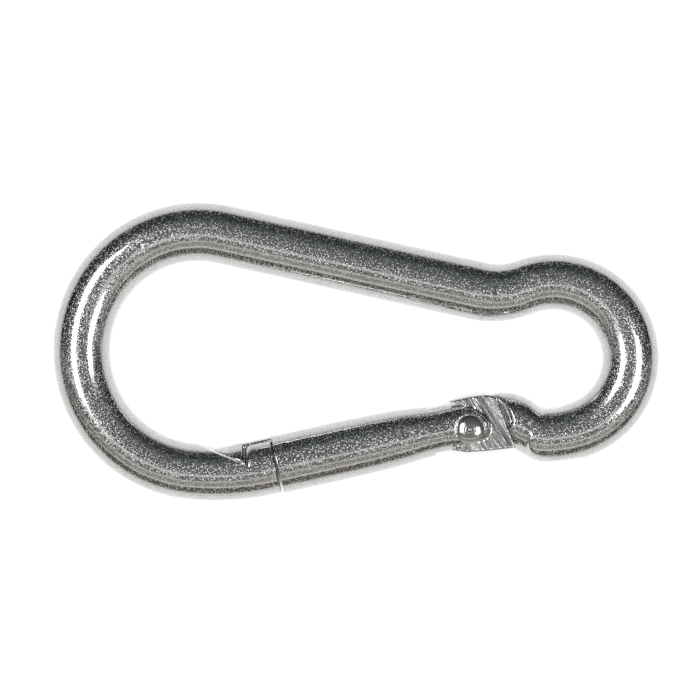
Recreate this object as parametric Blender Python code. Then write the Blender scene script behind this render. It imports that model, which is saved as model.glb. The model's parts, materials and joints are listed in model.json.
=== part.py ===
"""Carbine-type snap hook: a bent round bar with a sprung, hinged gate.

The hook lies flat on its side. X runs along the hook, with the small eye at
+X and the big bow at -X, Y runs across it, with the gate on the -Y side, and
Z stands up from the face it rests on. The origin is the middle of its base.
Lengths are in metres; MM turns millimetres into metres.
"""

import math

import bmesh
import bpy
from mathutils import Matrix, Vector

MM = 0.001

# Half the bar's thickness: along the straight side, in the bow, the neck and the
# eye, where bending has drawn it a little thinner, and at the nose.
STRAIGHT_R = 3.86 * MM
BOW_R = 3.72 * MM
NECK_R = 3.62 * MM
EYE_R = 3.68 * MM
NOSE_R = 3.67 * MM
SECTION_SIDES = 24
BEND_STEP = math.radians(6.0)
MID_Z = STRAIGHT_R * math.cos(math.pi / SECTION_SIDES)

# The bar's centreline, from the nose round the bow and the eye to the hinge.
# A straight run is (length, 0, half thickness at its end); a bend is
# (radius, turn in degrees, half thickness at its end), negative turns clockwise.
NOSE_START = Vector((-10.68 * MM, -15.03 * MM))
NOSE_HEADING = math.radians(192.0)
CENTRELINE = (
    (1.50 * MM, 0.0, NOSE_R),
    (31.30 * MM, -18.1, NOSE_R),
    (16.07 * MM, -113.6, BOW_R),
    (15.37 * MM, -72.8, STRAIGHT_R),
    (34.44 * MM, 0.0, STRAIGHT_R),
    (10.70 * MM, 33.8, NECK_R),
    (10.50 * MM, -56.2, EYE_R),
    (10.00 * MM, -128.6, EYE_R),
    (14.90 * MM, -23.0, EYE_R),
)
SHOULDER_RUN = 0.8 * MM
SHOULDER_TURN = -6.0
SHOULDER_R = 3.30 * MM

# The hinge, whose axis is parallel to Z. In the gate's own frame the hinge is
# the origin, X runs along the gate towards the eye and Y points inside the hook.
HINGE = Vector((15.01 * MM, -10.30 * MM, MID_Z))
GATE_SLOPE = math.radians(12.4)
RIVET_R = 1.50 * MM
RIVET_HOLE_R = 1.56 * MM
HEAD_R = 1.92 * MM
HEAD_RECESS_R = 2.10 * MM
HEAD_RECESS_Z = 3.35 * MM
HEAD_UNDER_Z = 3.42 * MM
HEAD_TOP_Z = 3.70 * MM

# The gate's bar, and the fork that its hinge end is milled and ground into.
GATE_R = 3.82 * MM
GATE_AXIS_Y = 0.88 * MM
GATE_FACE_X = -25.64 * MM
GATE_TIP_X = -33.75 * MM
FORK_HALF_Z = 3.20 * MM
FORK_SLOT_HALF_Z = 1.60 * MM
FORK_SLOT_X = -5.0 * MM
FORK_EDGE = 0.25 * MM
BAR_END_R = 2.67 * MM

# The latch: the gate's T-shaped head drops into a notch behind the hook's nose,
# and its neck passes through a slot in the nose.
NOTCH_TOP = Vector((-35.73 * MM, 5.95 * MM))
NOTCH_LOW = Vector((-29.98 * MM, 1.80 * MM))
HEAD_GAP = 0.08 * MM
HEAD_WALL_GAP = 0.28 * MM
HEAD_LIFT_X = -31.85 * MM
HEAD_LIFT = 0.35 * MM
NECK_HALF_Z = 1.20 * MM
NECK_UNDER_Y = 2.50 * MM
NOSE_SLOT_HALF_Z = 1.50 * MM
NOSE_SLOT_Y = 2.15 * MM
CLEAR = 6.5 * MM

# The hook's tongue, between the fork's ears, ends in a cam. Its radius grows by
# CAM_RISE per radian, so the plunger moves evenly as the gate opens.
TONGUE_HALF_Z = 1.50 * MM
TONGUE_R = 2.75 * MM
CAM_RISE = 1.80 * MM
CAM_FROM = math.radians(-8.0)
CAM_TO = math.radians(44.0)
CAM_GAP = 0.05 * MM

# The plunger and its spring, in a blind bore along the gate's axis.
BORE_R = 1.30 * MM
BORE_END_X = -20.0 * MM
PLUNGER_R = 1.20 * MM
PLUNGER_NOSE_X = -4.0 * MM
PLUNGER_TAIL_X = -8.0 * MM
SPIGOT_R = 0.60 * MM
SPIGOT_END_X = -10.0 * MM
SPRING_R = 0.92 * MM
WIRE_R = 0.17 * MM
SPRING_TURNS = 13
SPRING_GAP = 0.10 * MM
TURN_STEPS = 14

STEEL = (0.62, 0.62, 0.60, 1.0)
DARK_STEEL = (0.48, 0.48, 0.47, 1.0)


def clear_scene():
    for old in list(bpy.data.objects):
        bpy.data.objects.remove(old, do_unlink=True)


def metal(name, colour, roughness):
    """A metal with the given base colour and roughness."""
    made = bpy.data.materials.new(name)
    made.use_nodes = True
    shader = made.node_tree.nodes["Principled BSDF"]
    shader.inputs["Base Color"].default_value = colour
    shader.inputs["Roughness"].default_value = roughness
    shader.inputs["Metallic"].default_value = 1.0
    return made


def place(name, data, parent=None):
    """A new object for mesh or curve data, on parent if there is one."""
    made = bpy.data.objects.new(name, data)
    bpy.context.scene.collection.objects.link(made)
    made.parent = parent
    return made


def as_mesh(name, shape, sharp_above=35.0):
    """A smooth-shaded mesh from a bmesh, with sharp edges above an angle."""
    bmesh.ops.recalc_face_normals(shape, faces=shape.faces)
    mesh = bpy.data.meshes.new(name)
    shape.to_mesh(mesh)
    shape.free()
    mesh.shade_smooth()
    mesh.set_sharp_from_angle(angle=math.radians(sharp_above))
    return mesh


def loft(rings):
    """A closed solid through rings of points, flat at both ends."""
    shape = bmesh.new()
    loops = [[shape.verts.new(point) for point in ring] for ring in rings]
    for near, far in zip(loops, loops[1:]):
        for i in range(len(near)):
            shape.faces.new((near[i - 1], near[i], far[i], far[i - 1]))
    shape.faces.new(loops[0])
    shape.faces.new(reversed(loops[-1]))
    return shape


def prism(outline, low, high):
    """A flat outline in X and Y, made solid from height low to height high."""
    return loft([[(x, y, z) for x, y in outline] for z in (low, high)])


def ring_x(x, mid_y, half_y, half_z, sides=SECTION_SIDES):
    """An oval ring across X, turned so that flats face up, down and sideways."""
    angles = [math.tau * (i + 0.5) / sides for i in range(sides)]
    return [(x, mid_y + half_y * math.cos(a), half_z * math.sin(a)) for a in angles]


def cylinder_z(radius, low, high, sides=SECTION_SIDES):
    outline = [(radius * math.cos(math.tau * i / sides), radius * math.sin(math.tau * i / sides))
               for i in range(sides)]
    return prism(outline, low, high)


def arc(centre, radius, start, end, steps):
    """Points on an arc, its ends included; angles in degrees."""
    points = []
    for i in range(steps + 1):
        angle = math.radians(start + (end - start) * i / steps)
        points.append(Vector((centre[0] + radius * math.cos(angle), centre[1] + radius * math.sin(angle))))
    return points


def combine(target, operation, name, shape, parent=None):
    """Cuts, joins or crosses the target with a hidden helper solid."""
    helper = place(name, as_mesh(name, shape), parent or target.parent)
    helper.hide_render = True
    helper.display_type = "WIRE"
    helper.hide_set(True)
    boolean = target.modifiers.new(name, "BOOLEAN")
    boolean.operation = operation
    boolean.object = helper
    boolean.solver = "EXACT"


def bar_sections():
    """Stations along the hook's bar: (centre, heading, half width, half height)."""
    at = NOSE_START.copy()
    heading = NOSE_HEADING
    half = NOSE_R
    stations = [(at.copy(), heading, half, half)]
    for size, turn, half_end in CENTRELINE:
        turn = math.radians(turn)
        steps = max(1, math.ceil(abs(turn) / BEND_STEP))
        run = (size if turn == 0.0 else size * abs(turn)) / steps
        chord = run if turn == 0.0 else 2.0 * size * math.sin(abs(turn) / steps / 2.0)
        for i in range(1, steps + 1):
            middle = heading + turn / steps / 2.0
            at += chord * Vector((math.cos(middle), math.sin(middle)))
            heading += turn / steps
            now = half + (half_end - half) * i / steps
            stations.append((at.copy(), heading, now, now))
        half = half_end
    heading += math.radians(SHOULDER_TURN)
    at += SHOULDER_RUN * Vector((math.cos(heading), math.sin(heading)))
    stations.append((at.copy(), heading, SHOULDER_R, TONGUE_HALF_Z - CAM_GAP))
    return stations


def bar_rings():
    rings = []
    for centre, heading, half_width, half_height in bar_sections():
        side = Vector((-math.sin(heading), math.cos(heading)))
        ring = []
        for i in range(SECTION_SIDES):
            angle = math.tau * (i + 0.5) / SECTION_SIDES
            across = centre + side * half_width * math.cos(angle)
            ring.append((across.x, across.y, MID_Z + half_height * math.sin(angle)))
        rings.append(ring)
    return rings


def cam_outline(steps=13):
    """The cam's edge: where a plunger nose of PLUNGER_R touches as the gate turns."""
    reach = PLUNGER_R + CAM_GAP

    def nose(angle):
        point = Vector((PLUNGER_NOSE_X - CAM_RISE * angle, GATE_AXIS_Y))
        return Matrix.Rotation(-angle, 2) @ point

    points = []
    for i in range(steps):
        angle = CAM_FROM + (CAM_TO - CAM_FROM) * i / (steps - 1)
        step = 1e-3
        along = (nose(angle + step) - nose(angle - step)).normalized()
        inward = Vector((along.y, -along.x))
        points.append(nose(angle) + reach * inward)
    return points


def tongue_outline():
    """The tongue's edge, from its cam over the top, into the bar and back below."""
    top = [(-0.4, 3.95), (2.8, 3.98), (5.1, 3.82), (6.9, 3.30), (8.4, 2.30), (9.5, 1.30)]
    low = [(9.0, -5.6), (7.7, -5.90), (6.8, -5.30), (5.2, -3.72), (3.2, -2.95)]
    outline = cam_outline()
    outline += [Vector((x * MM, y * MM)) for x, y in top + low]
    outline += arc((0.0, 0.0), TONGUE_R, -70.0, -172.0, 10)
    return outline


def notch_outline():
    wall_up = NOTCH_LOW + CLEAR * Vector((math.sin(GATE_SLOPE), math.cos(GATE_SLOPE)))
    return [NOTCH_TOP, NOTCH_LOW, wall_up]


def make_hook_body(gate_frame):
    body = place("hook_body", as_mesh("hook_body", loft(bar_rings())))
    body.data.materials.append(metal("polished_bar", STEEL, 0.22))
    half = TONGUE_HALF_Z
    combine(body, "UNION", "tongue", prism(tongue_outline(), -half, half), gate_frame)
    combine(body, "DIFFERENCE", "notch", prism(notch_outline(), -CLEAR, CLEAR), gate_frame)
    slot = [(NOTCH_LOW.x - MM, NOSE_SLOT_Y), (-24.0 * MM, NOSE_SLOT_Y), (-24.0 * MM, CLEAR),
            (NOTCH_LOW.x - MM, CLEAR)]
    half = NOSE_SLOT_HALF_Z
    combine(body, "DIFFERENCE", "nose_slot", prism(slot, -half, half), gate_frame)
    hole = cylinder_z(RIVET_HOLE_R, -CLEAR, CLEAR)
    combine(body, "DIFFERENCE", "tongue_hole", hole, gate_frame)
    return body


def gate_rings():
    """Oval rings along the gate: x, lower edge and upper edge in Y, half height, in mm."""
    full = GATE_R / MM
    axis = GATE_AXIS_Y / MM
    low = axis - full
    high = axis + full
    stations = (
        (GATE_TIP_X / MM, low, high, full),
        (GATE_FACE_X / MM, low, high, full),
        (-16.0, low, high, full),
        (-12.7, -2.86, 4.62, 3.80),
        (-10.6, -2.78, 4.56, 3.78),
        (-8.6, -2.68, 4.47, 3.76),
        (-6.5, -2.50, 4.26, 3.74),
        (-4.4, -2.40, 4.08, 3.72),
        (-1.0, -2.60, 4.08, 3.72),
        (3.5, -2.80, 4.08, 3.66),
    )
    return [ring_x(x * MM, (y0 + y1) / 2 * MM, (y1 - y0) / 2 * MM, half * MM)
            for x, y0, y1, half in stations]


def bar_end_outline():
    """What the gate's round bar keeps: all of it up to a rounded end at the rivet."""
    far = GATE_TIP_X - CLEAR
    outline = [Vector((far, CLEAR)), Vector((-1.9 * MM, CLEAR))]
    outline += arc((0.0, 0.0), BAR_END_R, 42.0, -78.0, 12)
    outline += [Vector((-0.8 * MM, -CLEAR)), Vector((far, -CLEAR))]
    return outline


def fork_outline():
    """The ground flanks of the hinge end, cut off aslant at the back."""
    points = ((-2.8, -2.20), (-1.0, -2.86), (1.5, -3.24), (5.39, -3.64), (4.43, 3.55),
              (3.06, 4.04), (1.07, 4.24), (-0.96, 4.24), (-2.1, 3.95), (-3.0, 3.20))
    return [Vector((x * MM, y * MM)) for x, y in points]


def latch_floor_y(x):
    """Height of the notch's sloping floor, in the gate's frame."""
    share = (x - NOTCH_TOP.x) / (NOTCH_LOW.x - NOTCH_TOP.x)
    return NOTCH_TOP.y + share * (NOTCH_LOW.y - NOTCH_TOP.y)


def under_head_outline():
    """What is cut away below the gate's head and its neck."""
    foot_x = NOTCH_LOW.x - HEAD_WALL_GAP
    start_x = GATE_TIP_X - MM
    return [
        Vector((start_x, latch_floor_y(start_x) + HEAD_GAP)),
        Vector((HEAD_LIFT_X, latch_floor_y(HEAD_LIFT_X) + HEAD_GAP)),
        Vector((foot_x, latch_floor_y(foot_x) + HEAD_LIFT + HEAD_GAP)),
        Vector((foot_x, NECK_UNDER_Y)),
        Vector((GATE_FACE_X, NECK_UNDER_Y)),
        Vector((GATE_FACE_X, -CLEAR)),
        Vector((start_x, -CLEAR)),
    ]


def cheek_outline():
    """What is cut from each side of the neck, between the head and the gate's face."""
    lean = Vector((math.sin(GATE_SLOPE), math.cos(GATE_SLOPE)))
    foot = NOTCH_LOW + Vector((-HEAD_WALL_GAP, 0.0))
    return [foot - 2.0 * MM * lean, Vector((GATE_FACE_X, foot.y - 2.0 * MM)),
            Vector((GATE_FACE_X, CLEAR)), foot + CLEAR * lean]


def make_gate(gate_frame):
    gate = place("gate", as_mesh("gate", loft(gate_rings())), gate_frame)
    gate.data.materials.append(metal("polished_gate", STEEL, 0.24))
    combine(gate, "INTERSECT", "bar_end", prism(bar_end_outline(), -CLEAR, CLEAR))
    fork = prism(fork_outline(), -FORK_HALF_Z, FORK_HALF_Z)
    bmesh.ops.bevel(fork, geom=fork.edges, offset=FORK_EDGE, segments=1, affect="EDGES")
    combine(gate, "UNION", "fork", fork)
    slot = [(FORK_SLOT_X, -CLEAR), (CLEAR, -CLEAR), (CLEAR, CLEAR), (FORK_SLOT_X, CLEAR)]
    combine(gate, "DIFFERENCE", "fork_slot", prism(slot, -FORK_SLOT_HALF_Z, FORK_SLOT_HALF_Z))
    combine(gate, "DIFFERENCE", "rivet_hole", cylinder_z(RIVET_HOLE_R, -CLEAR, CLEAR))
    for name, low, high in (("recess_up", HEAD_RECESS_Z, CLEAR), ("recess_down", -CLEAR, -HEAD_RECESS_Z)):
        combine(gate, "DIFFERENCE", name, cylinder_z(HEAD_RECESS_R, low, high))
    bore = loft([ring_x(x, GATE_AXIS_Y, BORE_R, BORE_R, 16) for x in (BORE_END_X, FORK_SLOT_X + MM)])
    combine(gate, "DIFFERENCE", "bore", bore)
    combine(gate, "DIFFERENCE", "under_head", prism(under_head_outline(), -CLEAR, CLEAR))
    for name, low, high in (("cheek_up", NECK_HALF_Z, CLEAR), ("cheek_down", -CLEAR, -NECK_HALF_Z)):
        combine(gate, "DIFFERENCE", name, prism(cheek_outline(), low, high))
    return gate


def make_rivet(gate_frame):
    """The hinge rivet: a shank with a low domed head at each end."""
    half = [(0.6 * MM, HEAD_TOP_Z), (1.3 * MM, HEAD_TOP_Z - 0.05 * MM), (HEAD_R, HEAD_TOP_Z - 0.20 * MM),
            (HEAD_R, HEAD_UNDER_Z), (RIVET_R, HEAD_UNDER_Z)]
    profile = [(r, -z) for r, z in half] + [(r, z) for r, z in reversed(half)]
    rings = []
    for radius, height in profile:
        turns = [math.tau * i / SECTION_SIDES for i in range(SECTION_SIDES)]
        rings.append([(radius * math.cos(a), radius * math.sin(a), height) for a in turns])
    rivet = place("hinge_rivet", as_mesh("hinge_rivet", loft(rings)), gate_frame)
    rivet.data.materials.append(metal("rivet_steel", STEEL, 0.28))
    return rivet


def make_plunger(gate_frame):
    """The pressure pin: a round nose on the cam and a spigot inside the spring."""
    rings = []
    for i in range(1, 7):
        angle = math.radians(15.0 * i)
        x = PLUNGER_NOSE_X + PLUNGER_R * math.cos(angle)
        rings.append(ring_x(x, GATE_AXIS_Y, PLUNGER_R * math.sin(angle), PLUNGER_R * math.sin(angle), 16))
    for x, radius in ((PLUNGER_TAIL_X, PLUNGER_R), (PLUNGER_TAIL_X, SPIGOT_R), (SPIGOT_END_X, SPIGOT_R)):
        rings.append(ring_x(x, GATE_AXIS_Y, radius, radius, 16))
    plunger = place("spring_plunger", as_mesh("spring_plunger", loft(rings)), gate_frame)
    plunger.data.materials.append(metal("pin_steel", DARK_STEEL, 0.35))
    return plunger


def make_spring(gate_frame):
    """The compression spring, from the plunger's shoulder to the bore's end."""
    start = PLUNGER_TAIL_X - WIRE_R - SPRING_GAP
    end = BORE_END_X + WIRE_R + SPRING_GAP
    count = SPRING_TURNS * TURN_STEPS
    curve = bpy.data.curves.new("gate_spring", "CURVE")
    curve.dimensions = "3D"
    curve.bevel_depth = WIRE_R
    curve.bevel_resolution = 1
    curve.use_fill_caps = True
    spline = curve.splines.new("POLY")
    spline.points.add(count)
    for i, point in enumerate(spline.points):
        turn = math.tau * i / TURN_STEPS
        x = start + (end - start) * i / count
        y = GATE_AXIS_Y + SPRING_R * math.cos(turn)
        point.co = (x, y, SPRING_R * math.sin(turn), 1.0)
    spring = place("gate_spring", curve, gate_frame)
    spring.data.materials.append(metal("spring_wire", DARK_STEEL, 0.30))
    return spring


def main():
    clear_scene()
    gate_frame = place("gate_frame", None)
    gate_frame.location = HINGE
    gate_frame.rotation_euler = (0.0, 0.0, GATE_SLOPE)
    make_hook_body(gate_frame)
    make_gate(gate_frame)
    make_rivet(gate_frame)
    make_plunger(gate_frame)
    make_spring(gate_frame)


main()
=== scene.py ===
"""Looks of a carbine-type spring snap hook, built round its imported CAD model.

Shapes are written as signed fields in millimetres: negative inside, positive
outside. A field is sampled on a lattice that follows the bar, meshed where it
changes sign, and its points are moved exactly onto the surface. Cut edges are
rounded by blending fields, so the polished metal catches light along them.
"""

import json
import math

import bpy
import numpy as np
from mathutils import Matrix, Vector


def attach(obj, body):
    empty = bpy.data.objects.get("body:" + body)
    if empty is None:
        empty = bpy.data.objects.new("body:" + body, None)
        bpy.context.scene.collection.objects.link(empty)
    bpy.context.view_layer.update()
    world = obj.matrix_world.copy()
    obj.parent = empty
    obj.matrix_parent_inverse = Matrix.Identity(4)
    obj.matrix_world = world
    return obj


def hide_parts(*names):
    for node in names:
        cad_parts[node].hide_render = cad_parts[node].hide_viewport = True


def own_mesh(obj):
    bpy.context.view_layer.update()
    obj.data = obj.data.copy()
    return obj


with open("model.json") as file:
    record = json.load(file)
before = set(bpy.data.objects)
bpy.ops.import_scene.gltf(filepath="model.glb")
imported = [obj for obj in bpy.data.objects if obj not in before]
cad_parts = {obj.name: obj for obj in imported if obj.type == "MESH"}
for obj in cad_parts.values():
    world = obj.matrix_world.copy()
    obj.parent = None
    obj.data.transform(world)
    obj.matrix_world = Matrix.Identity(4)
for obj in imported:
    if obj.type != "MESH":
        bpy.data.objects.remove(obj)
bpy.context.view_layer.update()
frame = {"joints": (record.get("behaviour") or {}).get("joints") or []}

MM = 0.001

# The bar's centreline, as in the CAD model: runs of (length, 0, half thickness at
# the end) or (radius, turn in degrees, half thickness at the end), in millimetres.
NOSE_START = (-10.68, -15.03)
NOSE_HEADING = math.radians(192.0)
NOSE_R = 3.67
CENTRELINE = (
    (1.50, 0.0, 3.67),
    (31.30, -18.1, 3.67),
    (16.07, -113.6, 3.72),
    (15.37, -72.8, 3.86),
    (34.44, 0.0, 3.86),
    (10.70, 33.8, 3.62),
    (10.50, -56.2, 3.68),
    (10.00, -128.6, 3.68),
    (14.90, -23.0, 3.68),
)

# The gate's own frame: the hinge is its origin, X runs to the eye, Y points inside.
JOINT = next(joint for joint in frame["joints"] if joint["name"] == "gate_hinge")
HINGE = np.array(JOINT["pos_m"]) / MM
MID_Z = HINGE[2]
GATE_SLOPE = math.radians(12.4)
GATE_AXIS_Y = 0.88

# The latch.
NOTCH_TOP = np.array((-35.73, 5.95))
NOTCH_LOW = np.array((-29.98, 1.80))
WALL_LEAN = np.array((math.sin(GATE_SLOPE), math.cos(GATE_SLOPE)))
HEAD_GAP = 0.08
HEAD_WALL_GAP = 0.28
HEAD_LIFT_X = -31.85
HEAD_LIFT = 0.35
HEAD_TIP_X = -33.80
NECK_HALF_Z = 1.20
NECK_UNDER_Y = 2.50
NOSE_SLOT_HALF_Z = 1.50
NOSE_SLOT_Y = 2.15

# The gate and its hinge end.
GATE_FACE_X = -25.78
GATE_FACE_LEAN = 0.020
SPLIT_X = -25.95
BAR_END_R = 2.67
FORK_HALF_Z = 2.65
FORK_SLOT_HALF_Z = 1.60
FORK_SLOT_X = -5.0
RIVET_R = 1.50
RIVET_HOLE_R = 1.56
HEAD_R = 1.92
HEAD_RECESS_R = 2.01
HEAD_RECESS_Z = 3.35
BORE_R = 1.30
BORE_END_X = -20.0

# The tongue with its cam, the plunger and the spring.
TONGUE_HALF_Z = 1.50
TONGUE_R = 2.75
FORK_END_X = 4.861
FORK_END_LEAN = math.radians(7.6)
FORK_END_SPAN = (math.radians(-34.0), math.radians(38.7))
GATE_TURN = math.radians(40.0)
SWEPT_GAP = 0.05
PLUNGER_R = 1.20
PLUNGER_NOSE_X = -4.0
PLUNGER_TAIL_X = -8.0
SPIGOT_R = 0.60
SPIGOT_END_X = -10.0
CAM_RISE = 1.80
CAM_GAP = 0.05
SPRING_R = 0.92
WIRE_R = 0.17
SPRING_TURNS = 13

# How widely fields are blended where two faces meet: larger is rounder.
SAWN_EDGE = 0.08
NOTCH_EDGE = 0.10
NOTCH_BACK = 0.90
SLOT_EDGE = 0.22
SLOT_CORNER = 0.25
HEAD_EDGE = 0.22
HEAD_HEEL = 0.40
NECK_EDGE = 0.30
NECK_ROOT = 0.25
HEAD_ROOT = 0.20
TONGUE_EDGE = 0.15
TONGUE_MILLED_EDGE = 0.40
TONGUE_MILLED_CORNER = 0.25
TONGUE_ROOT = 0.25
BAR_END_PLAN = 0.90
BAR_TAIL_ROUND = 2.80
BAR_TAIL_EDGE = 0.70
FORK_EDGE = 0.35
FORK_ROOT = 0.25
FORK_SLOT_CORNER = 0.50
FORK_SLOT_EDGE = 0.20
BORE_CORNER = 0.20
BORE_EDGE = 0.12
RIVET_HOLE_EDGE = 0.10
RECESS_CORNER = 0.10
RECESS_EDGE = 0.12

# Where the latch and the hinge end, which are shaped apart from the plain bar, begin.
RUN_ON = 0.5
NOSE_REACH = 8.0
LATCH_FROM_X = -22.0
LATCH_UNDER_Y = 9.0
HINGE_FROM_X = -8.0
TAIL_MIDDLE_X = 4.0
TAIL_HALF_X = 10.5
TAIL_HALF_Y = 8.5
TONGUE_END_X = 11.0
TONGUE_SCALE = 3.2
BORE_MOUTH = 1.0
NECK_SUNK = 0.03
NECK_OVERLAP = 0.6

# The lattice's pitch, where there is detail and where there is none, and its size.
FINE = 0.13
COARSE = 0.60
BODY_ACROSS = (-5.3, 5.3)
BODY_UP = (-4.1, 4.1)
BODY_BEFORE = -0.6
BODY_NOSE_END = 10.5
BODY_TAIL_FROM = 3.0
BODY_BEYOND = 12.5
GATE_ALONG = (-35.0, -24.0, -8.0, 6.4)
GATE_ACROSS = (-4.5, 5.6)
GATE_UP = (-4.2, 4.2)

# The rivet's head: a domed cap with a turned ring and a centre dimple.
HEAD_TOP_Z = 3.84
RING_R = 0.66
DOME_STEP = 0.05
DIMPLE = ((0.02, 3.76), (0.06, 3.765), (0.12, 3.81), (0.20, 3.84), (0.46, 3.835), (0.54, 3.81), (0.60, 3.81))
HEAD_UNDER_Z = 3.28
SHANK_HALF = 3.0

# The steel's skin: how many grains, lines and streaks to the metre, and how deep in metres.
GRAIN_PER_M = 5200.0
NICKS_PER_M = (5200.0, 3600.0, 3600.0)
LINES_PER_M = (70.0, 3000.0, 3000.0)
TINT_PER_M = 260.0
STREAKS_PER_M = (180.0, 2800.0, 180.0)
STREAK_TURN = math.radians(72.0)
LINE_DEPTH = 0.0000035
NICK_DEPTH = 0.000005
PIT_DEPTH = 0.000014
STREAK_DEPTH = 0.000260
TURNED_DEPTH = 0.000012
TURNED_TINT_PER_M = 900.0
RIVET_GRAIN_PER_M = 5200.0
PIN_GRAIN_PER_M = 3500.0
WIRE_GRAIN_PER_M = 9000.0
GROUND_ROUGH = 0.24
SAWN_ROUGHER = 0.35
# How much the split's faces are darkened: painted shade for the gap between nose and gate.
SAWN_GAP_PAINTED_SHADE = 0.50
SKIN_DARK = (0.625, 0.63, 0.62, 1.0)
SKIN_LIGHT = (0.685, 0.69, 0.68, 1.0)
RIVET_DARK = (0.56, 0.56, 0.55, 1.0)
RIVET_LIGHT = (0.66, 0.66, 0.65, 1.0)
HIDDEN_DARK = (0.42, 0.42, 0.41, 1.0)
HIDDEN_LIGHT = (0.54, 0.54, 0.53, 1.0)

# The studio, in metres.
LIGHT_DISTANCE = 0.60
FLOOR_Z = -0.00005
FLOOR_HALF = 3.0
FLOOR_SHADE_REACH = 0.002
FLOOR_WHITE = (1.03, 1.03, 1.03)
LENS_MM = 200.0
SENSOR_MM = 36.0
VIEW_WIDTH = 0.0927
VIEW_CENTRE = (-0.0008, 0.0002)
# Each softbox: its angles from straight up towards +X and +Y, and its half width and half
# height as angles, all in degrees.
SOFTBOXES = {"softbox_left": (-31.5, 7.0, 8.0, 17.0), "softbox_right": (34.0, -6.0, 8.5, 12.0)}
SOFTBOX_RADIANCE = 6.5


# --- Fields -----------------------------------------------------------------


def smooth_max(a, b, blend):
    """The larger of two fields, with the edge where they meet rounded."""
    h = np.maximum(blend - np.abs(a - b), 0.0) / blend
    return np.maximum(a, b) + h * h * blend / 4.0


def smooth_min(a, b, blend):
    """The smaller of two fields, with the corner where they meet filled."""
    return -smooth_max(-a, -b, blend)


def all_of(blend, *fields):
    result = fields[0]
    for field in fields[1:]:
        result = smooth_max(result, field, blend)
    return result


def along(p, start, direction):
    """Distance of points past a start, along a unit direction, in the XY plane."""
    return (p[:, 0] - start[0]) * direction[0] + (p[:, 1] - start[1]) * direction[1]


def curve_through(x, stations, values):
    """Smooth values between stations, with no kink at any of them."""
    stations = np.asarray(stations, float)
    values = np.asarray(values, float)
    slopes = np.gradient(values, stations)
    x = np.clip(x, stations[0], stations[-1])
    i = np.clip(np.searchsorted(stations, x) - 1, 0, len(stations) - 2)
    width = stations[i + 1] - stations[i]
    t = (x - stations[i]) / width
    return ((1 + 2 * t) * (1 - t) ** 2 * values[i] + t * (1 - t) ** 2 * width * slopes[i]
            + t * t * (3 - 2 * t) * values[i + 1] + t * t * (t - 1) * width * slopes[i + 1])


def outline_field(p, outline):
    """Signed distance in the XY plane to a closed outline."""
    corners = np.asarray(outline, float)
    nearest = np.full(len(p), np.inf)
    inside = np.zeros(len(p), bool)
    for a, b in zip(corners, np.roll(corners, -1, axis=0)):
        edge = b - a
        rel = p[:, :2] - a
        t = np.clip((rel @ edge) / (edge @ edge), 0.0, 1.0)
        off = rel - t[:, None] * edge
        nearest = np.minimum(nearest, (off * off).sum(axis=1))
        crosses = (a[1] > p[:, 1]) != (b[1] > p[:, 1])
        if a[1] != b[1]:
            side = p[:, 0] < edge[0] * (p[:, 1] - a[1]) / edge[1] + a[0]
            inside ^= crosses & side
    return np.where(inside, -1.0, 1.0) * np.sqrt(nearest)


def build_runs():
    """The centreline's runs: start, heading, length, curvature, half thicknesses, distance so far."""
    runs = []
    at = np.array(NOSE_START)
    heading = NOSE_HEADING
    half = NOSE_R
    so_far = 0.0
    for size, turn, half_end in CENTRELINE:
        turn = math.radians(turn)
        length = size * abs(turn) if turn else size
        curvature = turn / length
        runs.append((at.copy(), heading, length, curvature, half, half_end, so_far))
        at, heading = point_on(runs[-1], length)
        half = half_end
        so_far += length
    return runs, so_far


def point_on(run, t):
    """The point and heading at distance t along a run."""
    start, heading, _, curvature = run[:4]
    turned = heading + curvature * t
    if curvature == 0.0:
        return start + t * np.array((math.cos(heading), math.sin(heading))), turned
    step = np.array((math.sin(turned) - math.sin(heading), math.cos(heading) - math.cos(turned)))
    return start + step / curvature, turned


RUNS, BAR_LENGTH = build_runs()


def run_distance(p, run, open_start, open_end):
    """How far along a run each point lies, and its distance from the run in the XY plane."""
    start, heading, length, curvature = run[:4]
    direction = np.array((math.cos(heading), math.sin(heading)))
    if curvature == 0.0:
        t = along(p, start, direction)
        clipped = np.clip(t, -np.inf if open_start else 0.0, np.inf if open_end else length)
        near = start + clipped[:, None] * direction
        return t, clipped, np.hypot(p[:, 0] - near[:, 0], p[:, 1] - near[:, 1])
    side = np.array((-direction[1], direction[0]))
    centre = start + side / curvature
    rel = p[:, :2] - centre
    sign = math.copysign(1.0, curvature)
    first = math.atan2(*(start - centre)[::-1])
    turned = sign * (np.arctan2(rel[:, 1], rel[:, 0]) - first)
    middle = length * abs(curvature) / 2.0
    turned = (turned - middle + math.pi) % math.tau - math.pi + middle
    t = turned / abs(curvature)
    clipped = np.clip(t, -np.inf if open_start else 0.0, np.inf if open_end else length)
    angle = first + sign * clipped * abs(curvature)
    radius = 1.0 / abs(curvature)
    near = centre + radius * np.stack((np.cos(angle), np.sin(angle)), axis=1)
    return t, clipped, np.hypot(p[:, 0] - near[:, 0], p[:, 1] - near[:, 1])


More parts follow.
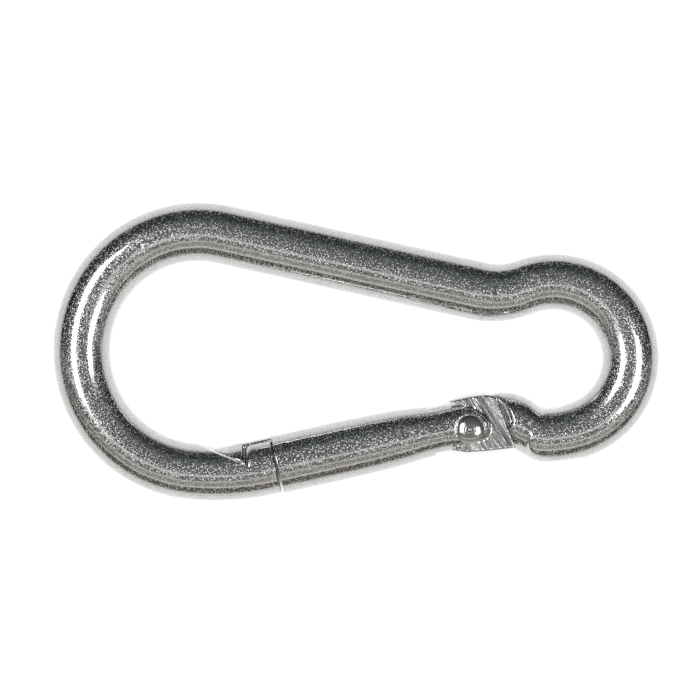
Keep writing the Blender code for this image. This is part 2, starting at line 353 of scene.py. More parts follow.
def bar_field(p):
    """The bent bar, sawn square at the nose, and how far along it each point lies."""
    best = np.full(len(p), np.inf)
    place = np.zeros(len(p))
    for i, run in enumerate(RUNS):
        first = i == 0
        last = i == len(RUNS) - 1
        length, half, half_end, so_far = run[2], run[4], run[5], run[6]
        t, clipped, off = run_distance(p, run, first, last)
        share = np.clip(clipped / length, 0.0, 1.0)
        field = np.hypot(off, p[:, 2] - MID_Z) - (half + (half_end - half) * share)
        if first:
            field = np.maximum(field, -t - RUN_ON)
        if last:
            end = smooth_max(off - half_end, t - length - RUN_ON, BAR_TAIL_ROUND)
            field = smooth_max(field, end, BAR_TAIL_EDGE)
        closer = field < best
        best = np.where(closer, field, best)
        place = np.where(closer, so_far + clipped, place)
    nose = np.hypot(*(p[:, :2] - NOSE_START).T) < NOSE_REACH
    past = -along(p[nose], NOSE_START, (math.cos(NOSE_HEADING), math.sin(NOSE_HEADING)))
    best[nose] = smooth_max(best[nose], past, SAWN_EDGE)
    return best, place


def to_gate(p):
    """World points in the gate's frame."""
    c, s = math.cos(GATE_SLOPE), math.sin(GATE_SLOPE)
    rel = p - HINGE
    return np.stack((c * rel[:, 0] + s * rel[:, 1], -s * rel[:, 0] + c * rel[:, 1], rel[:, 2]), axis=1)


def from_gate(g):
    """Points of the gate's frame in the world."""
    c, s = math.cos(GATE_SLOPE), math.sin(GATE_SLOPE)
    return np.stack((c * g[:, 0] - s * g[:, 1], s * g[:, 0] + c * g[:, 1], g[:, 2]), axis=1) + HINGE


FLOOR_ALONG = (NOTCH_LOW - NOTCH_TOP) / np.linalg.norm(NOTCH_LOW - NOTCH_TOP)
FLOOR_UP = np.array((-FLOOR_ALONG[1], FLOOR_ALONG[0]))
WALL_RIGHT = np.array((WALL_LEAN[1], -WALL_LEAN[0]))


def cut_latch(field, g):
    """Cuts the notch and the slot for the gate's head and neck into the nose."""
    below_floor = smooth_max(field, along(g, NOTCH_LOW, FLOOR_UP), NOTCH_EDGE)
    past_wall = smooth_max(field, -along(g, NOTCH_LOW, WALL_RIGHT), NOTCH_BACK)
    field = smooth_min(below_floor, past_wall, NOTCH_EDGE)
    slot = all_of(SLOT_CORNER, np.abs(g[:, 2]) - NOSE_SLOT_HALF_Z, NOSE_SLOT_Y - g[:, 1],
                  NOTCH_LOW[0] - 1.0 - g[:, 0])
    return smooth_max(field, -slot, SLOT_EDGE)


def cam_outline(steps=28):
    """The cam's edge: where the plunger's nose touches as the gate turns."""
    def nose(angle):
        x = PLUNGER_NOSE_X - CAM_RISE * angle
        c, s = math.cos(-angle), math.sin(-angle)
        return np.array((c * x - s * GATE_AXIS_Y, s * x + c * GATE_AXIS_Y))

    points = []
    for angle in np.radians(np.linspace(-8.0, 44.0, steps)):
        direction = nose(angle + 1e-3) - nose(angle - 1e-3)
        direction /= np.linalg.norm(direction)
        points.append(nose(angle) + (PLUNGER_R + CAM_GAP) * np.array((direction[1], -direction[0])))
    return points


def arc(radius, start, end, steps):
    """Points on an arc round the hinge; angles in degrees."""
    angles = np.radians(np.linspace(start, end, steps))
    return [np.array((radius * math.cos(a), radius * math.sin(a))) for a in angles]


TONGUE_TOP = ((-0.4, 3.95), (2.8, 3.98), (5.1, 3.90), (6.9, 3.60), (8.4, 3.40), (14.0, 3.40))
TONGUE_LOW = ((14.0, -7.0), (7.7, -6.60), (6.6, -5.50), (5.0, -3.72), (3.2, -2.95))
TONGUE = cam_outline() + [np.array(p) for p in TONGUE_TOP + TONGUE_LOW] + arc(TONGUE_R, -70, -172, 18)


# The tongue's section between the fork and the bar: along the gate, its top, its
# ridge and its low side, and its half height.
TONGUE_X = (3.0, 5.2, 6.0, 6.9, 7.7, 8.5, 9.5, 11.0)
TONGUE_HIGH = (3.98, 3.84, 3.62, 3.28, 2.80, 2.20, 1.15, -0.60)
TONGUE_RIDGE = (0.70, 0.20, -0.25, -0.77, -1.50, -2.10, -2.70, -3.20)
TONGUE_UNDER = (-2.90, -3.68, -4.40, -5.20, -5.80, -6.10, -6.25, -6.30)
TONGUE_TALL = (3.10, 3.42, 3.50, 3.58, 3.63, 3.65, 3.45, 2.60)


def fork_reach(angle):
    """How far the fork's end reaches from the hinge, at an angle from the gate's axis."""
    low, high = FORK_END_SPAN
    return FORK_END_X / np.cos(np.clip(angle, low, high) - FORK_END_LEAN)


def add_tongue(field, g):
    """Joins the round tongue, milled flat where the fork turns over it, to the bar's end."""
    across = np.hypot(g[:, 0], g[:, 1])
    angle = np.arctan2(g[:, 1], g[:, 0])
    high, ridge, under, tall = (curve_through(g[:, 0], TONGUE_X, row)
                                for row in (TONGUE_HIGH, TONGUE_RIDGE, TONGUE_UNDER, TONGUE_TALL))
    half = np.where(g[:, 1] > ridge, high - ridge, ridge - under)
    section = (np.hypot((g[:, 1] - ridge) / half, g[:, 2] / tall) - 1.0) * TONGUE_SCALE
    tongue = all_of(TONGUE_EDGE, section, outline_field(g, TONGUE), g[:, 0] - TONGUE_END_X)
    swept = np.maximum(fork_reach(angle), fork_reach(angle + GATE_TURN)) + SWEPT_GAP
    milled = smooth_min(swept - across, np.abs(g[:, 2]) - TONGUE_HALF_Z, TONGUE_MILLED_CORNER)
    tongue = smooth_max(tongue, milled, TONGUE_MILLED_EDGE)
    field = smooth_min(field, tongue, TONGUE_ROOT)
    return smooth_max(field, RIVET_HOLE_R - across, TONGUE_EDGE)


def body_field(p):
    """The whole hook body."""
    field, _ = bar_field(p)
    g = to_gate(p)
    nose = (g[:, 0] < LATCH_FROM_X) & (g[:, 1] < LATCH_UNDER_Y)
    if nose.any():
        field[nose] = cut_latch(field[nose], g[nose])
    tail = (np.abs(g[:, 0] - TAIL_MIDDLE_X) < TAIL_HALF_X) & (np.abs(g[:, 1]) < TAIL_HALF_Y)
    if tail.any():
        field[tail] = add_tongue(field[tail], g[tail])
    return field



# The gate's bar: along it, its low and high sides and its half height. Then the outline
# of the fork's ground flanks, and of what the round bar keeps up to its rounded end.
GATE_STATIONS = (-36.0, -25.6, -18.0, -15.0, -12.7, -10.6, -8.6, -6.5, -4.4, -1.0, 3.5)
GATE_LOW = (-2.94, -2.94, -2.94, -2.92, -2.86, -2.78, -2.68, -2.50, -2.40, -2.60, -2.80)
GATE_HIGH = (4.70, 4.70, 4.70, 4.68, 4.62, 4.56, 4.47, 4.26, 4.08, 4.08, 4.08)
GATE_HALF = (3.82, 3.82, 3.82, 3.82, 3.80, 3.78, 3.76, 3.74, 3.72, 3.72, 3.66)
FORK = ((-2.8, -2.20), (-1.0, -2.86), (1.5, -3.24), (5.39, -3.64), (4.43, 3.55),
        (3.06, 4.04), (1.07, 4.24), (-0.96, 4.26), (-1.95, 4.16), (-0.7, 3.72), (0.2, 3.0), (-1.0, 1.0))
BAR_END = [(-60.0, 9.0), (-2.0, 9.0), (-1.5, 4.4), (-0.1, 3.7), (1.0, 2.9)]
BAR_END += arc(BAR_END_R, 42, -78, 16) + [(-0.8, -9.0), (-60.0, -9.0)]


def gate_bar(g):
    """The gate's round bar, drawn in a little towards the hinge."""
    low = curve_through(g[:, 0], GATE_STATIONS, GATE_LOW)
    high = curve_through(g[:, 0], GATE_STATIONS, GATE_HIGH)
    half_z = curve_through(g[:, 0], GATE_STATIONS, GATE_HALF)
    half_y = (high - low) / 2.0
    ratio = np.hypot((g[:, 1] - (high + low) / 2.0) / half_y, g[:, 2] / half_z)
    return (ratio - 1.0) * np.minimum(half_y, half_z)


def latch_head(g, bar):
    """The T-shaped head and the neck that carries it."""
    lift_y = NOTCH_TOP[1] + (HEAD_LIFT_X - NOTCH_TOP[0]) * FLOOR_ALONG[1] / FLOOR_ALONG[0]
    lift = np.array((HEAD_LIFT_X, lift_y))
    foot = np.array((NOTCH_LOW[0] - HEAD_WALL_GAP, NOTCH_LOW[1] + HEAD_LIFT))
    rise = (foot - lift) / np.linalg.norm(foot - lift)
    under = HEAD_GAP - along(g, lift, FLOOR_UP)
    lifted = HEAD_GAP - along(g, lift, (-rise[1], rise[0]))
    face = along(g, foot, WALL_RIGHT)
    head = all_of(HEAD_EDGE, smooth_max(under, lifted, HEAD_HEEL), face, bar, HEAD_TIP_X - g[:, 0])
    neck = all_of(NECK_EDGE, bar + NECK_SUNK, np.abs(g[:, 2]) - NECK_HALF_Z, NECK_UNDER_Y - g[:, 1],
                  foot[0] - NECK_OVERLAP - g[:, 0], g[:, 0] - GATE_FACE_X - NECK_OVERLAP)
    return smooth_min(head, neck, NECK_ROOT)


def gate_field(g):
    """The whole gate, in its own frame."""
    bar = gate_bar(g)
    face = GATE_FACE_X - GATE_FACE_LEAN * (g[:, 1] - GATE_AXIS_Y) - g[:, 0]
    field = smooth_max(bar, face, SAWN_EDGE)
    front = g[:, 0] < LATCH_FROM_X
    if front.any():
        field[front] = smooth_min(field[front], latch_head(g[front], bar[front]), HEAD_ROOT)
    back = g[:, 0] > HINGE_FROM_X
    if back.any():
        field[back] = hinge_end(field[back], g[back])
    centre_off = np.hypot(g[:, 1] - GATE_AXIS_Y, g[:, 2])
    mouth = g[:, 0] - FORK_SLOT_X - BORE_MOUTH
    bore = all_of(BORE_CORNER, centre_off - BORE_R, BORE_END_X - g[:, 0], mouth)
    return smooth_max(field, -bore, BORE_EDGE)


def hinge_end(field, g):
    """The fork: the bar's rounded end, ground flanks, slot, rivet hole and recesses."""
    across = np.hypot(g[:, 0], g[:, 1])
    height = np.abs(g[:, 2])
    field = smooth_max(field, outline_field(g, BAR_END), BAR_END_PLAN)
    flanks = all_of(FORK_EDGE, outline_field(g, FORK), height - FORK_HALF_Z)
    field = smooth_min(field, flanks, FORK_ROOT)
    slot = all_of(FORK_SLOT_CORNER, height - FORK_SLOT_HALF_Z, FORK_SLOT_X - g[:, 0])
    field = smooth_max(field, -slot, FORK_SLOT_EDGE)
    field = smooth_max(field, RIVET_HOLE_R - across, RIVET_HOLE_EDGE)
    recess = all_of(RECESS_CORNER, across - HEAD_RECESS_R, HEAD_RECESS_Z - height)
    return smooth_max(field, -recess, RECESS_EDGE)


# --- Meshing ----------------------------------------------------------------


def spans(*parts):
    """Stations along a lattice: (from, to, pitch) stretches in a row."""
    rows = [np.linspace(a, b, max(2, math.ceil((b - a) / pitch) + 1)) for a, b, pitch in parts]
    return np.unique(np.round(np.concatenate(rows), 6))


def surface_net(points, values):
    """Corner points and quads of the surface where the values on a lattice change sign."""
    inside = values < 0.0
    shape = np.array(values.shape)
    cells = shape - 1
    flat_points = points.reshape(-1, 3)
    flat_values = values.ravel()
    strides = np.array((shape[1] * shape[2], shape[2], 1))
    cell_strides = np.array((cells[1] * cells[2], cells[2], 1))
    total = np.zeros((cells.prod(), 3))
    count = np.zeros(cells.prod())
    quads = []
    for axis in range(3):
        first = [slice(None)] * 3
        second = [slice(None)] * 3
        first[axis] = slice(0, -1)
        second[axis] = slice(1, None)
        edges = np.argwhere(inside[tuple(first)] != inside[tuple(second)])
        start = edges @ strides
        end = start + strides[axis]
        t = flat_values[start] / (flat_values[start] - flat_values[end])
        crossing = flat_points[start] + t[:, None] * (flat_points[end] - flat_points[start])
        u, v = (axis + 1) % 3, (axis + 2) % 3
        whole = (edges[:, u] > 0) & (edges[:, u] < cells[u]) & (edges[:, v] > 0) & (edges[:, v] < cells[v])
        around = []
        for du, dv in ((0, 0), (1, 0), (1, 1), (0, 1)):
            cell = edges.copy()
            cell[:, u] -= du
            cell[:, v] -= dv
            index = cell @ cell_strides
            np.add.at(total, index[whole], crossing[whole])
            np.add.at(count, index[whole], 1.0)
            around.append(index[whole])
        ring = np.stack(around, axis=1)
        outward = inside.ravel()[start[whole]]
        quads.append(np.where(outward[:, None], ring, ring[:, ::-1]))
    quads = np.concatenate(quads)
    used = np.flatnonzero(count)
    number = np.full(len(count), -1)
    number[used] = np.arange(len(used))
    return total[used] / count[used, None], number[quads]


def gradient(field, p, step=0.01):
    """The field's slope at each point."""
    slope = np.empty_like(p)
    for axis in range(3):
        shift = np.zeros(3)
        shift[axis] = step
        slope[:, axis] = (field(p + shift) - field(p - shift)) / (2.0 * step)
    return slope


def settle(field, p, rounds=3, reach=0.06):
    """Moves points onto the field's surface and gives the surface's directions there."""
    for _ in range(rounds):
        slope = gradient(field, p)
        size = np.maximum((slope * slope).sum(axis=1), 0.05)
        step = (field(p) / size)[:, None] * slope
        length = np.maximum(np.linalg.norm(step, axis=1), 1e-9)
        p = p - step * np.minimum(1.0, reach / length)[:, None]
    slope = gradient(field, p)
    return p, slope / np.maximum(np.linalg.norm(slope, axis=1), 1e-9)[:, None]


def mesh_object(name, points, faces, normals, extra):
    """An object from points in millimetres, with smooth shading along its true surface."""
    mesh = bpy.data.meshes.new(name)
    mesh.from_pydata((points * MM).tolist(), [], faces.tolist())
    mesh.shade_smooth()
    mesh.normals_split_custom_set_from_vertices(normals.tolist())
    for key, values in extra.items():
        kind = "FLOAT_VECTOR" if values.ndim == 2 else "FLOAT"
        data = mesh.attributes.new(key, kind, "POINT").data
        data.foreach_set("vector" if values.ndim == 2 else "value", values.astype(np.float32).ravel())
    made = bpy.data.objects.new(name, mesh)
    bpy.context.scene.collection.objects.link(made)
    return made


def grid_axis(low, high, pitch):
    return np.linspace(low, high, math.ceil((high - low) / pitch) + 1)


def make_body():
    """The hook body, on a lattice bent along its centreline."""
    end = BAR_LENGTH
    tail = end - BODY_TAIL_FROM
    stations = spans((BODY_BEFORE, BODY_NOSE_END, FINE), (BODY_NOSE_END, tail, COARSE),
                     (tail, end + BODY_BEYOND, FINE))
    across = grid_axis(*BODY_ACROSS, FINE)
    up = grid_axis(*BODY_UP, FINE)
    points = np.empty((len(stations), len(across), len(up), 3))
    for i, s in enumerate(stations):
        run = next((r for r in RUNS if s < r[6] + r[2]), RUNS[-1])
        inside = min(max(s, 0.0), end)
        centre, heading = point_on(run, inside - run[6])
        centre = centre + (s - inside) * np.array((math.cos(heading), math.sin(heading)))
        side = np.array((-math.sin(heading), math.cos(heading)))
        points[i, :, :, :2] = (centre + across[:, None] * side)[:, None, :]
        points[i, :, :, 2] = MID_Z + up
    values = body_field(points.reshape(-1, 3)).reshape(points.shape[:3])
    net, quads = surface_net(points, values)
    net, normals = settle(body_field, net)
    _, place = bar_field(net)
    sawn = sawn_faces(to_gate(net), to_gate(normals + HINGE))
    return mesh_object("hook_bar", net, quads, normals, {"straight": straightened(net, place), "sawn": sawn})


def sawn_faces(g, normals):
    """How far each point of the latch lies on the unpolished faces of the split. These faces get a rougher
    finish and painted shade for the dark gap between nose and gate.
    """
    facing = np.clip((np.abs(normals[:, 0]) - 0.90) / 0.06, 0.0, 1.0)
    return facing * (np.abs(g[:, 0] - SPLIT_X) < 0.6)


def straightened(p, place):
    """Points of the bar as if it were unbent: along it, across it and up, in metres."""
    place = np.clip(place, 0.0, BAR_LENGTH)
    centre = np.empty((len(p), 2))
    heading = np.empty(len(p))
    for run in RUNS:
        start, turn, length, curvature, _, _, so_far = run
        on = (place >= so_far) & (place <= so_far + length)
        t = place[on] - so_far
        turned = turn + curvature * t
        if curvature == 0.0:
            centre[on] = start + t[:, None] * np.array((math.cos(turn), math.sin(turn)))
        else:
            step = np.stack((np.sin(turned) - math.sin(turn), math.cos(turn) - np.cos(turned)), axis=1)
            centre[on] = start + step / curvature
        heading[on] = turned
    rel = p[:, :2] - centre
    beyond = rel[:, 0] * np.cos(heading) + rel[:, 1] * np.sin(heading)
    across = -rel[:, 0] * np.sin(heading) + rel[:, 1] * np.cos(heading)
    return np.stack((place + beyond, across, p[:, 2] - MID_Z), axis=1) * MM


def make_gate():
    """The gate, on a straight lattice in its own frame."""
    tip, latch, hinge, back = GATE_ALONG
    stations = spans((tip, latch, FINE), (latch, hinge, COARSE), (hinge, back, FINE))
    across = grid_axis(*GATE_ACROSS, FINE)
    up = grid_axis(*GATE_UP, FINE)
    lattice = np.stack(np.meshgrid(stations, across, up, indexing="ij"), axis=-1)
    values = gate_field(lattice.reshape(-1, 3)).reshape(lattice.shape[:3])
    net, quads = surface_net(lattice, values)
    net, normals = settle(gate_field, net)
    flat = np.clip((np.abs(normals[:, 2]) - 0.93) / 0.05, 0.0, 1.0)
    level = np.clip(1.0 - np.abs(np.abs(net[:, 2]) - FORK_HALF_Z) / 0.08, 0.0, 1.0)
    ground = flat * level * (net[:, 0] > -3.5)
    straight = (net - np.array((0.0, GATE_AXIS_Y, 0.0))) * MM
    turned = from_gate(normals) - HINGE
    extra = {"straight": straight, "ground": ground, "sawn": sawn_faces(net, normals)}
    return mesh_object("gate_bar", from_gate(net), quads, turned, extra)


def lathe(name, profile, steps, origin, axis_along_gate):
    """A turned piece from a profile of (radius, distance along its axis)."""
    points = []
    for radius, height in profile:
        for i in range(steps):
            angle = math.tau * i / steps
            if axis_along_gate:
                points.append((height, radius * math.cos(angle), radius * math.sin(angle)))
            else:
                points.append((radius * math.cos(angle), radius * math.sin(angle), height))
    faces = []
    for ring in range(len(profile) - 1):
        for i in range(steps):
            a = ring * steps + i
            b = ring * steps + (i + 1) % steps
            faces.append((a, b, b + steps, a + steps))
    points = np.array(points) + np.array(origin)
    faces = [tuple(face) for face in faces]
    last = (len(profile) - 1) * steps
    faces.append(tuple(reversed(range(steps))))
    faces.append(tuple(range(last, last + steps)))
    mesh = bpy.data.meshes.new(name)
    mesh.from_pydata((from_gate(points) * MM).tolist(), [], faces)
    mesh.shade_smooth()
    mesh.set_sharp_from_angle(angle=math.radians(40.0))
    made = bpy.data.objects.new(name, mesh)
    bpy.context.scene.collection.objects.link(made)
    return made


def rounded(corners, radius, steps=5):
    """A profile with its inner corners rounded."""
    corners = [np.array(c, float) for c in corners]
    result = [corners[0]]
    for before, corner, after in zip(corners, corners[1:], corners[2:]):
        back = before - corner
        ahead = after - corner
        reach = min(radius, 0.45 * np.linalg.norm(back), 0.45 * np.linalg.norm(ahead))
        p = corner + back / np.linalg.norm(back) * reach
        q = corner + ahead / np.linalg.norm(ahead) * reach
        for i in range(steps + 1):
            t = i / steps
            result.append((1 - t) ** 2 * p + 2 * t * (1 - t) * corner + t * t * q)
    result.append(corners[-1])
    return [tuple(c) for c in result]


def make_rivet():
    """The rivet, with a turned ring and a centre dimple in each domed head."""
    dome = []
    height = HEAD_TOP_Z
    radius = RING_R
    while radius < HEAD_R:
        dome.append((radius, height))
        slope = 2.0 if radius < 0.76 else 13.0 + 21.0 * (radius - 0.86)
        height -= DOME_STEP * math.tan(math.radians(slope))
        radius += DOME_STEP
    rim = HEAD_R + 0.01
    edge = [(rim, height), (rim, HEAD_UNDER_Z), (RIVET_R, HEAD_UNDER_Z), (RIVET_R, SHANK_HALF)]
    head = list(DIMPLE) + rounded(dome + edge, 0.05)
    profile = [(r, -z) for r, z in head] + [(r, z) for r, z in reversed(head)]
    return lathe("rivet_turned", profile, 96, (0.0, 0.0, 0.0), False)


def make_plunger():
    """The pressure pin, nose towards the tongue."""
    nose = [(PLUNGER_R * math.sin(a), PLUNGER_R * math.cos(a)) for a in np.radians(np.linspace(2, 90, 16))]
    back = rounded([(PLUNGER_R, 0.0), (PLUNGER_R, PLUNGER_TAIL_X - PLUNGER_NOSE_X),
                    (SPIGOT_R, PLUNGER_TAIL_X - PLUNGER_NOSE_X), (SPIGOT_R, SPIGOT_END_X - PLUNGER_NOSE_X),
                    (0.02, SPIGOT_END_X - PLUNGER_NOSE_X)], 0.12)
    profile = (nose + back[1:])[::-1]
    return lathe("plunger_pin", profile, 48, (PLUNGER_NOSE_X, GATE_AXIS_Y, 0.0), True)


def make_spring():
    """The compression spring, its end turns closed up."""
    start = PLUNGER_TAIL_X - WIRE_R - 0.10
    end = BORE_END_X + WIRE_R + 0.10
    steps = 28
    count = SPRING_TURNS * steps
    sides = 12
    closed = 2.2 * WIRE_R
    centre = []
    free = (end - start + 2 * closed) / (SPRING_TURNS - 2)
    for i in range(count + 1):
        turn = i / steps
        rest = SPRING_TURNS - turn
        if turn < 1:
            x = start - closed * turn
        elif rest < 1:
            x = end + closed * rest
        else:
            x = start - closed + free * (turn - 1)
        centre.append((x, math.tau * turn))
    points = []
    for x, angle in centre:
        outward = np.array((0.0, math.cos(angle), math.sin(angle)))
        middle = np.array((x, GATE_AXIS_Y, 0.0)) + SPRING_R * outward
        for k in range(sides):
            a = math.tau * k / sides
            points.append(middle + WIRE_R * (math.cos(a) * outward + math.sin(a) * np.array((1.0, 0.0, 0.0))))
    faces = []
    for i in range(count):
        for k in range(sides):
            a = i * sides + k
            b = i * sides + (k + 1) % sides
            faces.append((a, a + sides, b + sides, b))
    faces.append(tuple(range(sides)))
    faces.append(tuple(reversed(range(count * sides, (count + 1) * sides))))
    mesh = bpy.data.meshes.new("spring_coil")
    mesh.from_pydata((from_gate(np.array(points)) * MM).tolist(), [], faces)
    mesh.shade_smooth()
    made = bpy.data.objects.new("spring_coil", mesh)
    bpy.context.scene.collection.objects.link(made)
    return made


# --- Materials --------------------------------------------------------------


class Nodes:
    """Short ways to add and link shader nodes."""

    def __init__(self, tree):
        self.tree = tree

    def add(self, kind, **settings):
        node = self.tree.nodes.new(kind)
        for key, value in settings.items():
            setattr(node, key, value)
        return node

    def link(self, source, target):
        self.tree.links.new(source, target)

    def math(self, operation, a, b=None):
        node = self.add("ShaderNodeMath", operation=operation)
        for socket, value in zip(node.inputs, (a, b)):
            if value is None:
                continue
            if isinstance(value, (int, float)):
                socket.default_value = value
            else:
                self.link(value, socket)
        return node.outputs[0]

    def remap(self, value, low, high, to_low, to_high):
        node = self.add("ShaderNodeMapRange", clamp=True)
        self.link(value, node.inputs["Value"])
        for key, number in (("From Min", low), ("From Max", high), ("To Min", to_low), ("To Max", to_high)):
            node.inputs[key].default_value = number
        return node.outputs["Result"]

    def stretched(self, source, scale):
        node = self.add("ShaderNodeVectorMath", operation="MULTIPLY")
        self.link(source, node.inputs[0])
        node.inputs[1].default_value = scale
        return node.outputs[0]

    def noise(self, source, scale, detail, rough):
        node = self.add("ShaderNodeTexNoise")
        self.link(source, node.inputs["Vector"])
        node.inputs["Scale"].default_value = scale
        node.inputs["Detail"].default_value = detail
        node.inputs["Roughness"].default_value = rough
        return node.outputs[0]

    def bump(self, height, distance, below=None):
        node = self.add("ShaderNodeBump")
        node.inputs["Distance"].default_value = distance
        self.link(height, node.inputs["Height"])
        if below is not None:
            self.link(below, node.inputs["Normal"])
        return node.outputs["Normal"]


def new_steel(name):
    material = bpy.data.materials.new(name)
    material.use_nodes = True
    shader = material.node_tree.nodes["Principled BSDF"]
    shader.inputs["Metallic"].default_value = 1.0
    return material, Nodes(material.node_tree), shader


def bar_steel(name, ground=False):
    """Tumble-polished bar: a bright skin, finely peened, with faint drawing lines."""
    material, n, shader = new_steel(name)
    unbent = n.add("ShaderNodeAttribute", attribute_name="straight").outputs["Vector"]
    nicks = n.math("SUBTRACT", n.noise(n.stretched(unbent, NICKS_PER_M), 1.0, 1.0, 0.5), 0.5)
    grain = n.noise(unbent, GRAIN_PER_M, 1.0, 0.6)
    lines = n.noise(n.stretched(unbent, LINES_PER_M), 1.0, 2.0, 0.6)
    tint = n.noise(unbent, TINT_PER_M, 3.0, 0.6)
    peened = n.remap(grain, 0.46, 0.64, 0.0, 1.0)
    rough = n.math("ADD", n.remap(peened, 0.0, 1.0, 0.06, 0.36), n.remap(tint, 0.3, 0.7, -0.01, 0.03))
    shade = n.remap(grain, 0.35, 0.65, 0.68, 1.30)
    pits = n.remap(grain, 0.60, 0.74, 0.0, 1.0)
    if ground:
        mask = n.add("ShaderNodeAttribute", attribute_name="ground").outputs["Fac"]
        skin = n.math("SUBTRACT", 1.0, mask)
        nicks = n.math("MULTIPLY", nicks, skin)
        pits = n.math("MULTIPLY", pits, skin)
        turn = n.add("ShaderNodeVectorRotate", rotation_type="Z_AXIS")
        n.link(unbent, turn.inputs["Vector"])
        turn.inputs["Angle"].default_value = STREAK_TURN
        streaks = n.noise(n.stretched(turn.outputs[0], STREAKS_PER_M), 1.0, 1.0, 0.5)
        scratch = n.math("MULTIPLY", n.math("SUBTRACT", streaks, 0.5), mask)
        rough = n.math("ADD", n.math("MULTIPLY", rough, skin), n.math("MULTIPLY", mask, GROUND_ROUGH))
        streak = n.remap(streaks, 0.36, 0.64, 0.42, 1.36)
        shade = n.math("ADD", n.math("MULTIPLY", shade, skin), n.math("MULTIPLY", streak, mask))
    normal = n.bump(lines, LINE_DEPTH)
    normal = n.bump(nicks, NICK_DEPTH, normal)
    normal = n.bump(pits, PIT_DEPTH, normal)
    if ground:
        normal = n.bump(scratch, STREAK_DEPTH, normal)
    # The split's faces get a rougher, unpolished finish, which is real, and a darker colour, which is painted
    # shade for the gap between nose and gate.
    sawn = n.add("ShaderNodeAttribute", attribute_name="sawn").outputs["Fac"]
    rough = n.math("ADD", rough, n.math("MULTIPLY", sawn, SAWN_ROUGHER))
    shade = n.math("MULTIPLY", shade, n.remap(sawn, 0.0, 1.0, 1.0, SAWN_GAP_PAINTED_SHADE))
    ramp = n.add("ShaderNodeMix", data_type="RGBA")
    n.link(n.remap(tint, 0.3, 0.7, 0.0, 1.0), ramp.inputs["Factor"])
    ramp.inputs["A"].default_value = SKIN_DARK
    ramp.inputs["B"].default_value = SKIN_LIGHT
    colour = n.add("ShaderNodeVectorMath", operation="SCALE")
    n.link(ramp.outputs["Result"], colour.inputs[0])
    n.link(shade, colour.inputs["Scale"])
    n.link(colour.outputs[0], shader.inputs["Base Color"])
    n.link(rough, shader.inputs["Roughness"])
    n.link(normal, shader.inputs["Normal"])
    return material


def turned_steel(name, low, high, roughness, lines):
    """Turned steel with fine noise and a little variation of colour."""
    material, n, shader = new_steel(name)
    place = n.add("ShaderNodeTexCoord").outputs["Object"]
    tint = n.noise(place, TURNED_TINT_PER_M, 3.0, 0.6)
    grain = n.noise(place, lines, 3.0, 0.6)
    mix = n.add("ShaderNodeMix", data_type="RGBA")
    n.link(tint, mix.inputs["Factor"])
    mix.inputs["A"].default_value = low
    mix.inputs["B"].default_value = high
    n.link(mix.outputs["Result"], shader.inputs["Base Color"])
    n.link(n.remap(tint, 0.3, 0.7, roughness - 0.03, roughness + 0.05), shader.inputs["Roughness"])
    n.link(n.bump(grain, TURNED_DEPTH), shader.inputs["Normal"])
    return material


# --- Studio -----------------------------------------------------------------


def make_floor():
    """A large white table that glows, dimmed by painted shadow where the hook hems it in, under the bar and
    in its gaps. The metal mirrors the studio's own lower half instead of it.
    """
    mesh = bpy.data.meshes.new("studio_floor")
    corners = [(x * FLOOR_HALF, y * FLOOR_HALF, FLOOR_Z) for x, y in ((-1, -1), (1, -1), (1, 1), (-1, 1))]
    mesh.from_pydata(corners, [], [(0, 1, 2, 3)])
    floor = bpy.data.objects.new("studio_floor", mesh)
    floor.visible_glossy = False
    bpy.context.scene.collection.objects.link(floor)
    material = bpy.data.materials.new("white_table_painted_shadow")
    material.use_nodes = True
    shader = material.node_tree.nodes["Principled BSDF"]
    n = Nodes(material.node_tree)
    # Ambient occlusion darkens the table's glow near and under the hook: a painted shadow.
    painted_shadow_occlusion = n.add("ShaderNodeAmbientOcclusion", samples=4)
    painted_shadow_occlusion.inputs["Distance"].default_value = FLOOR_SHADE_REACH
    bright = n.add("ShaderNodeVectorMath", operation="SCALE")
    bright.inputs[0].default_value = FLOOR_WHITE
    n.link(n.remap(painted_shadow_occlusion.outputs["AO"], 0.36, 0.58, 0.01, 1.0), bright.inputs["Scale"])
    n.link(bright.outputs[0], shader.inputs["Emission Color"])
    shader.inputs["Base Color"].default_value = (0.02, 0.02, 0.02, 1.0)
    shader.inputs["Roughness"].default_value = 0.9
    shader.inputs["Specular IOR Level"].default_value = 0.0
    shader.inputs["Emission Strength"].default_value = 1.0
    mesh.materials.append(material)


def make_light(name, zenith_x, zenith_y, half_x, half_y):
    """A softbox seen from the hook at the given angles from straight up, in degrees."""
    tilt = math.radians(math.hypot(zenith_x, zenith_y))
    turn = math.atan2(zenith_y, zenith_x)
    toward = Vector((math.sin(tilt) * math.cos(turn), math.sin(tilt) * math.sin(turn), math.cos(tilt)))
    side = Vector((0.0, 1.0, 0.0)).cross(toward).normalized()
    data = bpy.data.lights.new(name, "AREA")
    data.shape = "RECTANGLE"
    data.size = 2.0 * LIGHT_DISTANCE * math.tan(math.radians(half_x))
    data.size_y = 2.0 * LIGHT_DISTANCE * math.tan(math.radians(half_y))
    data.energy = SOFTBOX_RADIANCE * math.pi * data.size * data.size_y
    light = bpy.data.objects.new(name, data)
    light.matrix_world = Matrix((side, toward.cross(side), toward)).transposed().to_4x4()
    light.location = toward * LIGHT_DISTANCE
    bpy.context.scene.collection.objects.link(light)


